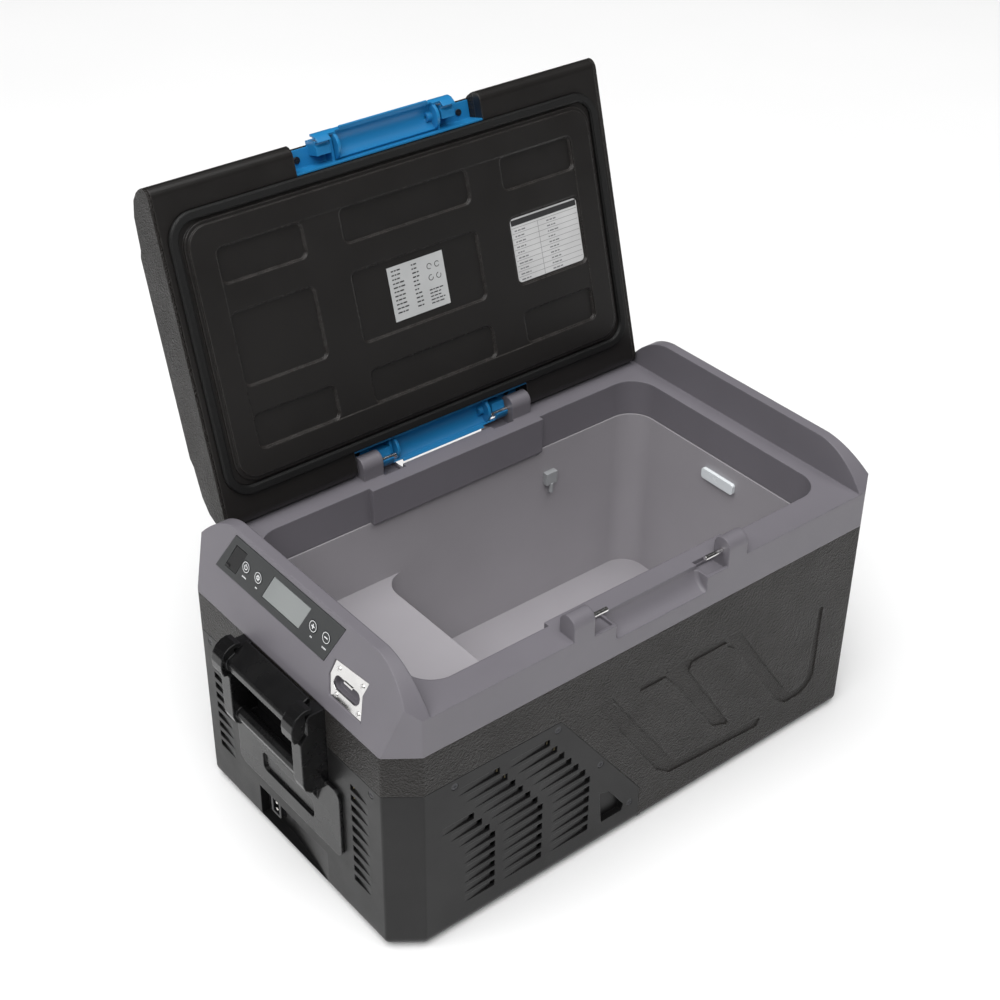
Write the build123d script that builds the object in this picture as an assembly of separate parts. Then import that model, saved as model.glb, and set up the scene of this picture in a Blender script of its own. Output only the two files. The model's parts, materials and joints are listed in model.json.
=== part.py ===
"""Portable compressor fridge with a two-way opening lid, built as separate pieces.

Millimetres.  Origin at the bottom centre of the cabinet, +X towards the storage end,
-X towards the machine and control end, -Y is the front with the machine vents, +Z up.
The lid is authored closed and then turned to its open rest position on the rear pins.
"""
from build123d import *
import math
import os

# ---------------------------------------------------------------- cabinet
half_len = 288.0          # end faces
half_wid = 161.0          # front and rear faces
cham_x = 28.0             # corner chamfer along the length
cham_y = 21.0             # corner chamfer along the width
body_bottom = 3.0         # underside of the cabinet above the floor
wall = 3.0                # moulded wall
z_frame = 224.0           # joint between body and top frame
z_cover = 182.0           # top of the machine cover
seam = 0.5                # gap between neighbouring mouldings
base_round = 10.0         # rounding of the bottom edge
foot_x = 238.0
foot_y = 118.0
foot_r = 13.0

# ---------------------------------------------------------------- top frame
z_ledge = 263.0           # seat for the lid
z_ear = 301.5             # top of the end ears
ear_in = 252.0            # inner face of the ears
slope_top = 262.5         # outer edge of the ear top
well_x = 235.0            # half length of the opening
well_y = 130.5            # half width of the opening
well_r = 28.0
land_y = 124.5            # opening edge between the latch posts
land_x = 104.0

# ---------------------------------------------------------------- latches and lid hinge line
pin_y = 151.6             # steel pins, mirrored front and rear
pin_z = 272.0
pin_r = 2.3
pin_in = 58.0
post_in = 79.0
post_out = 101.7
post_top = 285.0
piv_y = 146.5             # latch bar pivot, closed lid
piv_z = 281.0
piv_r = 1.6
lid_open = 105.7          # degrees from closed to the open rest

# ---------------------------------------------------------------- lid, closed position
lid_x = 249.0
lid_y = 157.8
lid_rim = 267.5
lid_top = 309.0
notch_x = 104.5
notch_y = 131.0
notch_z = 290.0

# ---------------------------------------------------------------- interior
liner_t = 1.5
shelf_z = 150.0           # floor over the machine bay
deep_z = 34.0             # outside of the deep floor
deep_x0 = -97.0           # outside of the deep end wall
bay_x = -108.0            # bulkhead face towards the storage end
bay_z = 140.5             # top of the machine bay ceiling

# ---------------------------------------------------------------- handles
arm_in = 48.5
arm_out = 62.5
grip_axis_x = 299.0
grip_axis_z = 217.0
grip_pin_r = 2.5


# ================================================================ helpers
def box(x0, x1, y0, y1, z0, z1):
    return Pos((x0 + x1) / 2, (y0 + y1) / 2, (z0 + z1) / 2) * Box(x1 - x0, y1 - y0, z1 - z0)


def rbox(x0, x1, y0, y1, z0, z1, r):
    face = Pos((x0 + x1) / 2, (y0 + y1) / 2, z0) * RectangleRounded(x1 - x0, y1 - y0, r)
    return extrude(face, z1 - z0, dir=(0, 0, 1))


def face_from(points, place):
    return make_face(Polyline(*[place(a, b) for a, b in points], close=True))


def prism_xz(points, y0, y1):
    face = face_from(points, lambda a, b: (a, y0, b))
    return extrude(face, y1 - y0, dir=(0, 1, 0))


def prism_yz(points, x0, x1):
    face = face_from(points, lambda a, b: (x0, a, b))
    return extrude(face, x1 - x0, dir=(1, 0, 0))


def prism_xy(points, z0, z1):
    face = face_from(points, lambda a, b: (a, b, z0))
    return extrude(face, z1 - z0, dir=(0, 0, 1))


def rod(p, q, r):
    start = Vector(*p)
    end = Vector(*q)
    plane = Plane(origin=start, z_dir=end - start)
    return extrude(plane * Circle(r), (end - start).length)


def ring(p, q, r_out, r_in):
    return rod(p, q, r_out) - rod(p, q, r_in)


def sector(y, z, r_in, r_out, a0, a1, x0, x1):
    """Annular sector about an X axis, angles from +Y towards +Z."""
    steps = max(6, int(abs(a1 - a0) / 6))
    angles = [math.radians(a0 + (a1 - a0) * i / steps) for i in range(steps + 1)]
    outer = [(y + r_out * math.cos(a), z + r_out * math.sin(a)) for a in angles]
    inner = [(y + r_in * math.cos(a), z + r_in * math.sin(a)) for a in reversed(angles)]
    return prism_yz(outer + inner, x0, x1)


def bent_tube(points, r, bend):
    """Round tube through the given corners, each corner bent to a radius."""
    path = FilletPolyline(*points, radius=bend)
    return sweep(Plane(origin=path @ 0, z_dir=path % 0) * Circle(r), path)


def plan_points(d):
    """Corner points of the chamfered plan, drawn in by d."""
    h = math.hypot(cham_x, cham_y)
    k = cham_y * (half_len - cham_x) + cham_x * half_wid - d * h
    xl = half_len - d
    yw = half_wid - d
    xc = (k - cham_x * yw) / cham_y
    yc = (k - cham_y * xl) / cham_x
    return [(xc, yw), (-xc, yw), (-xl, yc), (-xl, -yc), (-xc, -yw), (xc, -yw), (xl, -yc), (xl, yc)]


def plan_prism(d, z0, z1, r):
    face = make_face(Polyline(*plan_points(d), close=True))
    face = fillet(face.vertices(), r)
    return extrude(Pos(0, 0, z0) * face, z1 - z0, dir=(0, 0, 1))


def cabinet_outer():
    solid = plan_prism(0, body_bottom, z_frame, 4)
    return fillet(solid.edges().group_by(Axis.Z)[0], base_round)


def cover_zone(d):
    """Side view outline of the machine cover, drawn in by d, through the full width."""
    outline = [(-400, z_cover - d), (-113, z_cover - d), (-12 - d, 45), (-12 - d, -10), (-400, -10)]
    return prism_xz(outline, -300, 300)


# ================================================================ body shell
band_depth = 1.0


def front_bands():
    """Shallow angular bands pressed into the front and rear faces, between low plateaus."""
    foot = [(-72, 178), (-54.5, 178), (27, 59), (36, 54), (148, 44), (144, 34), (26, 42), (8, 56)]
    middle = [(13, 163), (24, 151.5), (80, 70), (104, 60), (41, 158), (44.7, 168), (40, 174), (10, 172)]
    hook = [(88, 174), (104, 174), (181, 60), (188, 54), (203, 54), (211, 63), (215, 146), (221, 146), (221, 60),
            (214, 50), (205, 44), (182, 44), (169, 55), (101.6, 153), (88.6, 163)]
    solids = []
    for outline in (foot, middle, hook):
        face = face_from(outline, lambda a, b: (a, -half_wid - 1, b))
        face = fillet(face.vertices(), 1.8)
        solids.append(extrude(face, 1 + band_depth, dir=(0, 1, 0)))
    for x0, x1, z in ((-20.5, 12, 166), (44, 90, 167)):
        top = [(-half_wid - 0.5, z), (-half_wid + band_depth, z), (-half_wid - 0.1, z + 14), (-half_wid - 0.5, z + 14)]
        solids.append(prism_yz(top, x0, x1))
    return solids + [mirror(solid, Plane.XZ) for solid in solids]


def body_cavity():
    return plan_prism(wall, body_bottom + wall, z_frame + 1, 3)


def make_body_shell():
    shell = cabinet_outer() - body_cavity()
    for band in front_bands():
        shell -= band
    shell -= cover_zone(0)
    bulkhead = box(bay_x - 2.5, bay_x, -157.9, 157.9, body_bottom + wall, bay_z + 1)
    ceiling = box(-284.9, bay_x, -134, 134, bay_z, bay_z + 2.5)
    side_lip = box(bay_x - 2.5, -6, -157.9, -155.6, body_bottom + wall + 0.1, 182)
    side_lip -= box(-69, -26, -160, -150, 20, 76)
    side_lip += box(-11, -6, -158.5, -155.6, body_bottom + wall - 0.5, 182)
    floor = box(bay_x - 2.5, -10, -150, 150, body_bottom, body_bottom + wall)
    shell = shell + floor + bulkhead + ceiling + side_lip + mirror(side_lip, Plane.XZ)
    for y in (-foot_y, foot_y):
        shell -= rod((foot_x, y, body_bottom - 1), (foot_x, y, body_bottom + 1), foot_r + 0.8)
    return shell


# ================================================================ machine cover
slot_pitch = 11.9
slot_tall = 7.4
slot_depth = 2.3


def louvre(width):
    """Plan outline of one louvre: a long shallow ramp that breaks through at its deep end."""
    return [(-width, 0.5), (0, 0.5), (0, -3.6), (-4.5, -slot_depth + 0.3), (-width, 0.02)]


def side_slots():
    """Louvres on the front face, deep at the right hand end, stepping left above the knee."""
    cuts = []
    columns = ((-184.5, 34, 9), (-131.0, 45, 12), (-75.8, 45, 12))
    for x_right, width, count in columns:
        for k in range(count):
            z = 30.0 + slot_pitch * k
            xr = x_right - max(0.0, (z - 93.0) / 1.38)
            outline = [(xr + a, -half_wid - b) for a, b in louvre(width)]
            cuts.append(prism_xy(outline, z, z + slot_tall))
    return cuts


def end_slots():
    cuts = []
    for k in range(10):
        z = 50.0 + slot_pitch * k
        for y in (-95.5, 124.0):
            outline = [(-half_len - b, y + a) for a, b in louvre(25)]
            cuts.append(prism_xy(outline, z, z + slot_tall - 0.6))
    return cuts


def inlet_pocket(grow):
    outline = [(-half_len - 0.1 + 0.9 * grow, 58 + grow), (-279 + grow, 58 + grow), (-279 + grow, 16 - grow),
               (-half_len - 0.1 + 0.9 * grow, -54 - grow)]
    return prism_xy(outline, 11 - grow, 47 + grow)


def drain_notch():
    """Wedge pocket beside the lowest screw, deepest on its lower right side."""
    outline = [(-63, 67), (-51, 63), (-32, 36), (-34, 29), (-59, 29)]
    return prism_xz(outline, -half_wid - 1, -half_wid + 6)


def drain_backing():
    outline = [(-66, 70), (-49, 66), (-29.5, 37), (-31, 26), (-62, 26)]
    return prism_xz(outline, -half_wid + 2, -half_wid + 8.5)


cover_screw_side = ((-228, 174.0), (-116, 173.5), (-63.5, 103.5), (-24, 33))
cover_screw_end = ((-126.0, 174.0), (126.0, 174.0))


def make_machine_cover():
    cover = (cabinet_outer() - body_cavity()) & cover_zone(seam)
    cover -= box(-278, -20, -150, 150, 0, body_bottom + wall + 0.1)
    cover -= box(bay_x - 2.6, -10, -151, 151, 0, body_bottom + wall + 0.1)
    cover += inlet_pocket(2.5) & box(-287.9, -200, -100, 100, 0, 100)
    cover += drain_backing()
    cover -= inlet_pocket(0)
    cover -= box(-290, -270, 29.3, 45.7, 21.8, 44.2)
    cover -= drain_notch()
    for cut in side_slots() + end_slots():
        cover -= cut
    rear = [mirror(cut, Plane.XZ) for cut in side_slots()]
    for cut in rear:
        cover -= cut
    for x, z in cover_screw_side:
        cover -= rod((x, -half_wid - 1, z), (x, -half_wid + 1.2, z), 3.6)
        cover -= rod((x, half_wid - 1.2, z), (x, half_wid + 1, z), 3.6)
    for y, z in cover_screw_end:
        cover -= rod((-half_len - 1, y, z), (-half_len + 1.2, y, z), 3.6)
    return cover


def screw_head(p, direction, r, height):
    start = Vector(*p)
    end = start + Vector(*direction) * height
    head = rod(tuple(start), tuple(end), r)
    normal = Vector(*direction)
    helper = Vector(1, 0, 0) if abs(direction[2]) > 0.9 else Vector(0, 0, 1)
    along = normal.cross(helper)
    for axis in (along, normal.cross(along)):
        slot = Plane(origin=end, x_dir=axis, z_dir=normal) * Rectangle(1.3 * r, 0.22 * r)
        head -= extrude(slot, 0.5, both=True)
    return head


def make_cover_screws():
    heads = []
    for x, z in cover_screw_side:
        heads.append(screw_head((x, -half_wid + 1.2, z), (0, -1, 0), 3.3, 1.0))
        heads.append(screw_head((x, half_wid - 1.2, z), (0, 1, 0), 3.3, 1.0))
    for y, z in cover_screw_end:
        heads.append(screw_head((-half_len + 1.2, y, z), (-1, 0, 0), 3.3, 1.0))
    return heads


# ================================================================ top frame
def ear_face(x):
    """Side profile of the ears: flat top rolling down to the front and rear faces."""
    roll = [(96, z_ear), (122, 297.5), (141.5, 285.5), (154, 272.5), (half_wid, z_ledge)]
    front = [(x, -a, b) for a, b in reversed(roll)]
    rear = [(x, a, b) for a, b in roll]
    edges = [
        Line((x, -half_wid, z_frame), front[0]),
        Spline(*front),
        Line(front[-1], rear[0]),
        Spline(*rear),
        Line(rear[-1], (x, half_wid, z_frame)),
        Line((x, half_wid, z_frame), (x, -half_wid, z_frame)),
    ]
    return make_face(edges)


def end_slope(side):
    """Material taken off outside the sloping end face."""
    outline = [(side * half_len, z_frame), (side * slope_top, z_ear), (side * slope_top, z_ear + 5),
               (side * 330, z_ear + 5), (side * 330, z_frame)]
    return prism_xz(outline, -200, 200)


def well_plan(z0, z1):
    main = rbox(-well_x, well_x, -well_y, well_y, z0, z1, well_r)
    lands = box(-land_x, land_x, -well_y - 1, -land_y, z0, z1)
    lands += box(-land_x, land_x, land_y, well_y + 1, z0, z1)
    return main - lands


scoop_x = 54.0


def scoop():
    """Finger scoop in the front edge, open forwards, with rounded inner ends."""
    top = z_ledge + 1
    edges = [
        Line((-scoop_x, -half_wid - 2, top), (-scoop_x, -half_wid - 2, 242.5)),
        Line((-scoop_x, -half_wid - 2, 242.5), (-scoop_x, -159.5, 242.5)),
        ThreePointArc((-scoop_x, -159.5, 242.5), (-scoop_x, -149.8, 249.2), (-scoop_x, -145.5, top)),
        Line((-scoop_x, -145.5, top), (-scoop_x, -half_wid - 2, top)),
    ]
    cut = extrude(make_face(edges), 2 * scoop_x, dir=(1, 0, 0))
    ends = [edge for edge in cut.edges() if edge.geom_type == GeomType.CIRCLE]
    return fillet(ends, 4.0)


def latch_side():
    """Everything cut from the front edge for the latch."""
    lip = box(-post_in, post_in, -half_wid - 1, -140, 258.5, z_ledge + 1)
    pocket_a = box(-post_in, -56, -158, -141, 255.0, z_ledge + 1)
    pocket_b = box(56, post_in, -158, -141, 255.0, z_ledge + 1)
    inner_step = box(-scoop_x, scoop_x, -145.5, -139, 250.0, z_ledge + 1)
    return scoop() + (lip - inner_step) + pocket_a + pocket_b


def latch_post(side):
    x0, x1 = sorted((side * post_in, side * post_out))
    r = 9.6
    yc = -half_wid + r
    column = box(x0, x1, -half_wid, -half_wid + 2 * r, z_ledge - 8, post_top - r)
    crown = rod((x0, yc, post_top - r), (x1, yc, post_top - r), r)
    return column + crown


def frame_hollow():
    ring_cut = plan_prism(wall, z_frame - 1, z_ledge - 3, 3)
    ring_cut &= box(-well_x - 3, well_x + 3, -200, 200, z_frame - 2, z_ledge)
    ring_cut -= rbox(-well_x - 3, well_x + 3, -well_y - 3, well_y + 3, z_frame - 2, z_ledge, well_r + 3)
    ring_cut -= box(-112, 112, -170, 170, z_frame - 2, z_ledge)
    return ring_cut


def ear_hollow(side):
    outline = [(side * 284.5, z_frame - 1), (side * 284.5, z_frame), (side * 262.5, z_ear - 9),
               (side * 255.5, z_ear - 9), (side * 255.5, z_ledge - 3), (side * 238, z_ledge - 3),
               (side * 238, z_frame - 1)]
    return prism_xz(outline, -58 if side < 0 else -118, 128)


def frame_solids(frame):
    """The frame moulding in butted blocks: the ring, the two latch rails and the bottle opener block."""
    joint = 0.01
    rails = []
    for y0, y1 in ((-170, -100), (100, 170)):
        rails.append(frame & box(-land_x, land_x, y0, y1, z_frame - 1, z_ear))
        frame -= box(-land_x - joint, land_x + joint, y0, y1, z_frame - 1, z_ear)
    block = on_slope(Pos(82, 29) * Rectangle(46, 23), -13, 1)
    opener_block = frame & block
    frame -= on_slope(Pos(82, 29) * Rectangle(46 + 2 * joint, 23 + 2 * joint), -13 - joint, 1)
    return [frame, rails[0], rails[1], opener_block]


def make_top_frame():
    plan = plan_prism(0, z_frame, z_ear, 4)
    ledge = plan_prism(0, z_frame, z_ledge, 4)
    ears = extrude(ear_face(ear_in), half_len + 1 - ear_in, dir=(1, 0, 0)) & plan
    frame = ledge + ears + mirror(ears, Plane.YZ)
    frame -= end_slope(1)
    frame -= end_slope(-1)
    for side in (1, -1):
        frame += latch_post(side)
        frame += mirror(latch_post(side), Plane.XZ)
    frame -= latch_side()
    frame -= mirror(latch_side(), Plane.XZ)
    frame -= well_plan(z_frame - 1, z_ear + 5)
    frame -= frame_hollow()
    frame -= ear_hollow(1)
    frame -= ear_hollow(-1)
    for y in (-pin_y, pin_y):
        for side in (1, -1):
            frame -= rod((side * (post_in - 1), y, pin_z), (side * (post_in + 12), y, pin_z), pin_r)
    frame -= on_slope(panel_face(0.0), -0.9, 3)
    frame -= on_slope(panel_face(-3.0), -6, 3)
    frame -= on_slope(opener_face(0.4), -3.0, 3)
    frame -= on_slope(Pos(82, 29) * RectangleRounded(37, 13.5, 6), -9, 3)
    return frame_solids(frame)


# ================================================================ sloping control end
slope_len = math.hypot(half_len - slope_top, z_ear - z_frame)
slope_nx = -(z_ear - z_frame) / slope_len
slope_nz = (half_len - slope_top) / slope_len
slope_plane = Plane(origin=(-half_len, 0, z_frame), x_dir=(0, -1, 0), z_dir=(slope_nx, 0, slope_nz))


def on_slope(face, d0, d1):
    """Solid standing on the sloping control face between two heights above it."""
    plane = slope_plane.offset(d0)
    return extrude(plane * face, d1 - d0)


def flat_face(points):
    return make_face(Polyline(*points, close=True))


def panel_face(grow):
    g = grow
    points = [(-102.4 - g, 76.5 + g), (64.5 + g, 76.5 + g), (47.4 + g, 36.7 - g), (-122 - g, 36.7 - g)]
    return flat_face(points)


def lens_face(grow):
    g = grow
    points = [(-39 - g, 69.4 + g), (17 + g, 69.4 + g), (6.5 + g, 44.4 - g), (-49.5 - g, 44.4 - g)]
    return flat_face(points)


def usb_face(grow, top):
    g = grow
    points = [(-98 - g, top), (-81 + g, top), (-91.5 + g, 43.5 - g), (-108.5 - g, 43.5 - g)]
    return flat_face(points)


buttons = {
    "power_button": (-78.8, 57.0),
    "settings_button": (-59.5, 57.0),
    "plus_button": (24.7, 57.0),
    "minus_button": (43.9, 57.0),
}
button_r = 5.6
flap_hinge_v = 67.9


def opener_face(grow):
    g = grow
    points = [(61.0 - g, 46.5 + g), (106.5 + g, 50.0 + g), (102.5 + g, 36.5), (108.5 + g, 14.5 - g),
              (64.0 - g, 14.5 - g), (57.5 - g, 31.0)]
    return flat_face(points)


def make_control_panel():
    panel = on_slope(panel_face(-0.3), -0.9, 0.3)
    panel += on_slope(panel_face(-3.3), -2.0, -0.9)
    panel -= on_slope(lens_face(0.3), -3, 2)
    panel -= on_slope(usb_face(0.3, 68.9), -3, 2)
    for u, v in buttons.values():
        panel -= on_slope(Pos(u, v) * Circle(button_r + 0.3), -3, 2)
    return panel


def make_display_lens():
    return on_slope(lens_face(0.0), -1.8, 0.0)


def make_control_board():
    board = on_slope(flat_face([(-96, 72), (50, 72), (44, 42), (-112, 42)]), -5.6, -4.4)
    for u, v in buttons.values():
        board += on_slope(Pos(u, v) * Rectangle(5, 5), -4.5, -3.0)
    board += on_slope(Pos(-16, 57) * Rectangle(48, 18), -4.5, -2.2)
    return board


def make_button(name):
    u, v = buttons[name]
    return on_slope(Pos(u, v) * Circle(button_r), -1.6, 0.6)


def make_usb_socket():
    body = on_slope(Pos(-94.5, 56) * Rectangle(9, 16), -3.9, -1.4)
    return body - on_slope(Pos(-94.5, 56) * Rectangle(5.0, 12.5), -3.3, 0)


def make_usb_flap():
    """Flap with a rounded upper edge that it turns on."""
    flap = on_slope(usb_face(-0.2, flap_hinge_v), -0.9, 0.25)
    flap += on_slope(Pos(-104, 46) * Rectangle(4.5, 1.6), 0.2, 0.9)
    ends = [tuple(slope_plane.from_local_coords(Vector(u, flap_hinge_v, -0.325))) for u in (-97.8, -81.3)]
    return flap + rod(ends[0], ends[1], 0.575)


def make_bottle_opener():
    plate = on_slope(opener_face(0.0), -3.0, -1.0)
    plate -= on_slope(Pos(82, 29) * RectangleRounded(36, 12.5, 6), -9, 3)
    plate += on_slope(Pos(83, 34.4) * Rectangle(12, 2.2), -3.0, -0.2)
    return plate


def make_opener_screws():
    normal = tuple(slope_plane.z_dir)
    heads = []
    for u, v in ((67, 41), (99, 43), (71, 18.5), (102, 18.5)):
        centre = slope_plane.from_local_coords(Vector(u, v, -1.0))
        heads.append(screw_head(tuple(centre), normal, 2.2, 0.7))
    return heads


# ================================================================ liner and cold side
def liner_block(d, z_top):
    upper = rbox(-well_x + d, well_x - d, -well_y + d, well_y - d, shelf_z + d, z_top, well_r - d)
    lower = rbox(deep_x0 + d, well_x - d, -well_y + d, well_y - d, deep_z + d, z_top, well_r - d)
    return upper + lower


def make_inner_liner():
    flange = rbox(-well_x - 6, well_x + 6, -well_y - 6, well_y + 6, z_frame - 1.7, z_frame - 0.2, well_r + 6)
    liner = liner_block(0, z_frame - 0.2) + flange
    return liner - liner_block(liner_t, z_frame + 5)


def make_foam_insulation():
    block = plan_prism(wall + 0.4, body_bottom + wall + 0.4, z_frame - 2.2, 3)
    block -= box(-400, bay_x + 0.4, -200, 200, -10, bay_z + 2.9)
    block -= box(-400, -5.6, -200, -155.2, -10, 182.4)
    block -= box(-400, -5.6, 155.2, 200, -10, 182.4)
    block -= box(-71, -24, -200, -151.8, 18, 78)
    block -= liner_block(-0.3, z_frame + 5)
    coil_band = rbox(deep_x0 - 9.5, well_x + 9.5, -well_y - 9.5, well_y + 9.5, 50, 132, well_r + 9.5)
    return block - coil_band - rod((180, 0, 30), (180, 0, 0), 4)


def coil_ring(z):
    d = 4.2
    outline = RectangleRounded(well_x - deep_x0 + 2 * d, 2 * (well_y + d), well_r + d)
    wire = (Pos((well_x + deep_x0) / 2, 0, z) * outline).wires()[0]
    start = wire @ 0
    return sweep(Plane(origin=start, z_dir=wire % 0) * Circle(3.2), wire)


def make_evaporator_coil():
    return [coil_ring(z) for z in (58, 74, 90, 106, 122)]


def make_interior_light():
    body = box(well_x - liner_t - 4.0, well_x - liner_t - 0.1, -22, 22, 196, 208)
    return fillet(body.edges().filter_by(Axis.X), 3)


def make_temperature_sensor():
    clip = box(110, 124, well_y - liner_t - 6, well_y - liner_t - 0.1, 180, 194)
    return clip + rod((117, well_y - 6, 170), (117, well_y - 6, 181), 2.4)


# ================================================================ machine bay
def make_base_tray():
    tray = box(-276, -113, -140, 140, body_bottom + 0.3, body_bottom + 1.5)
    tray += box(-276, -113, -140, -138.8, body_bottom + 0.3, 14)
    tray += box(-276, -113, 138.8, 140, body_bottom + 0.3, 14)
    for x in (-196, -140):
        for y in (40, 96):
            tray += rod((x, y, body_bottom + 1.2), (x, y, 19), 3.0)
    return tray


def make_compressor_mounts():
    return [ring((x, y, 5), (x, y, 16), 7.5, 3.4) for x in (-196, -140) for y in (40, 96)]


def make_compressor():
    foot = box(-206, -130, 30, 106, 16.3, 18.3)
    for x in (-196, -140):
        for y in (40, 96):
            foot -= rod((x, y, 10), (x, y, 30), 3.4)
    shell = rod((-168, 68, 18.2), (-168, 68, 80), 34)
    dome = fillet(shell.faces().sort_by(Axis.Z)[-1].edges(), 14)
    band = rod((-168, 68, 54), (-168, 68, 60), 35.5)
    cover = box(-150, -124, 58, 78, 36, 52)
    return foot + dome + band + cover


def make_condenser_fins():
    slab = [box(-272.0, -236.0, y, y + 0.9, 24, 128) for y in range(-118, -24, 4)]
    plates = slab[0]
    for fin in slab[1:]:
        plates += fin
    plates += box(-272.0, -236.0, -121, -118, 24, 128)
    plates += box(-272.0, -236.0, -24, -21, 24, 128)
    for z in (40, 64, 88, 112):
        for x in (-263, -245):
            plates -= rod((x, -130, z), (x, -10, z), 3.3)
    tray = box(-273.5, -234.5, -121, -21, 22, 24)
    top = box(-273.5, -234.5, -121, -21, 128, 130)
    return plates + tray + top


def make_condenser_tube():
    tubes = []
    for z in (40, 64, 88, 112):
        for x in (-263, -245):
            tubes.append(rod((x, -126, z), (x, -16, z), 3.1))
    return tubes


def make_fan_shroud():
    frame = box(-233.5, -209.5, -116, -26, 30, 120)
    frame -= rod((-240, -71, 75), (-200, -71, 75), 41)
    for y in (-111, -31):
        for z in (35, 115):
            frame -= rod((-240, y, z), (-200, y, z), 2.2)
    for a in (0, 120, 240):
        y = 42 * math.cos(math.radians(a + 30))
        z = 42 * math.sin(math.radians(a + 30))
        frame += rod((-212, -71 + 0.3 * y, 75 + 0.3 * z), (-212, -71 + y, 75 + z), 1.8)
    return frame + rod((-214, -71, 75), (-210, -71, 75), 14)


def make_fan_motor():
    can = rod((-218.5, -71, 75), (-214.1, -71, 75), 13)
    return can + rod((-231, -71, 75), (-218.4, -71, 75), 1.5)


def make_fan_rotor():
    hub = ring((-230.5, -71, 75), (-220, -71, 75), 15, 1.55)
    rotor = hub
    blade = box(-229, -221, -0.7, 0.7, 13, 38.5)
    for k in range(7):
        turned = Pos(-225, -71, 75) * Rot(k * 360 / 7, 0, 0) * Rot(0, 0, 35) * Pos(225, 0, 0) * blade
        rotor += turned
    return rotor


def make_filter_drier():
    body = rod((-226, 10, 60), (-226, 10, 120), 9)
    return body + rod((-226, 10, 50), (-226, 10, 130), 2.4)


def make_suction_pipe():
    return bent_tube([(-168, 68, 80), (-168, 68, 112), (-168, 128, 112), (-112, 128, 112)], 3.0, 9)


def make_discharge_pipe():
    return bent_tube([(-168, 34, 48), (-168, -8, 48), (-200, -8, 48), (-200, -8, 130), (-222, -8, 130)], 2.4, 7)


def make_power_board():
    board = box(-206, -114, -132, -22, 16, 17.6)
    for x, y, w, d, h in ((-198, -124, 22, 30, 18), (-168, -122, 26, 22, 14), (-136, -118, 16, 40, 22),
                          (-196, -80, 40, 14, 9), (-146, -64, 24, 30, 12), (-190, -50, 18, 18, 15)):
        board += box(x, x + w, y, y + d, 17.5, 17.5 + h)
    for x in (-203, -117):
        for y in (-129, -25):
            board += rod((x, y, body_bottom + 1.6), (x, y, 16.2), 2.5)
    return board


def make_dc_inlet():
    block = box(-284.5, -275, 29.5, 45.5, 22, 44)
    block = fillet(block.edges().filter_by(Axis.X), 3)
    return block - box(-286, -278, 32.5, 42.5, 25, 41)


def make_dc_inlet_pins():
    return [rod((-283.5, 37.5, z), (-278, 37.5, z), 1.6) for z in (29.0, 37.0)]


def make_rubber_feet():
    """The storage end pair sits in recesses of the cabinet, the machine end pair on the base tray."""
    feet = []
    for y in (-foot_y, foot_y):
        feet.append(rod((foot_x, y, 0), (foot_x, y, body_bottom + 1), foot_r))
        feet.append(rod((-foot_x, y, 0), (-foot_x, y, body_bottom + 0.3), foot_r))
    return feet


# ================================================================ carrying handles
def handle_arm(y0, y1):
    outline = [(-288, 138), (-301, 138), (-307, 139.5), (-311.5, 143.5), (-313.5, 150), (-313.5, 196),
               (-306, 203.5), (-306, 221), (-303, 223.5), (-288, 223.5)]
    return prism_xz(outline, y0, y1)


def make_left_handle_bracket():
    pad = rbox(-82, 82, 66, 143, 0, 3.5, 9)
    pad = Plane(origin=(-288, 0, 0), x_dir=(0, -1, 0), z_dir=(-1, 0, 0)) * pad
    slot = Plane(origin=(-291.6, 0, 0), x_dir=(0, -1, 0), z_dir=(1, 0, 0)) * rbox(-41, 41, -104, -83, 0, 2.6, 5)
    shelf = prism_xz([(-288, 112), (-291.5, 112), (-304, 138), (-309, 147), (-310.5, 152), (-309, 156),
                      (-305, 158), (-300, 157), (-296, 150), (-288, 150)], -arm_in, arm_in)
    bracket = pad - slot + shelf + handle_arm(arm_in, arm_out) + handle_arm(-arm_out, -arm_in)
    bore = rod((-grip_axis_x, -arm_out + 3, grip_axis_z), (-grip_axis_x, arm_out - 3, grip_axis_z), grip_pin_r)
    return bracket - bore


def make_left_handle_grip():
    bar_outline = [(-292.5, 229.3), (-314.0, 218.2), (-315.8, 215.0), (-315.8, 209.0), (-311.5, 203.8),
                   (-297.5, 203.8), (-292.3, 209.5)]
    bar = prism_xz(bar_outline, -arm_in + 0.8, arm_in - 0.8)
    bar = fillet(bar.edges().filter_by(Axis.Y), 1.6)
    lobe_outline = [(-307.2, 215), (-309.4, 206.5), (-312.5, 204), (-316.5, 200.5), (-319.2, 201.2), (-321.0, 205),
                    (-321.5, 213), (-320.0, 220), (-316.5, 225.5), (-311, 229.4), (-305, 230.6),
                    (-300.5, 229.5), (-300.5, 226), (-307.2, 226)]
    grip = bar
    for y0, y1 in ((arm_in - 1.5, arm_out), (-arm_out, -arm_in + 1.5)):
        grip += prism_xz(lobe_outline, y0, y1)
    for side in (1, -1):
        y_in = side * (arm_in - 9)
        y_out = side * (arm_out + 1)
        grip -= rod((-grip_axis_x, y_in, grip_axis_z), (-grip_axis_x, y_out, grip_axis_z), grip_pin_r + 0.05)
    return grip


def make_left_handle_pins():
    pins = []
    for side in (1, -1):
        y_in = side * (arm_in - 8.5)
        y_out = side * (arm_out - 3)
        pins.append(rod((-grip_axis_x, y_in, grip_axis_z), (-grip_axis_x, y_out, grip_axis_z), grip_pin_r))
    return pins


# ================================================================ steel latch pins
def make_steel_pins(y):
    pins = []
    for side in (1, -1):
        pins.append(rod((side * pin_in, y, pin_z), (side * (post_in + 12), y, pin_z), pin_r))
    return pins


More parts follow.
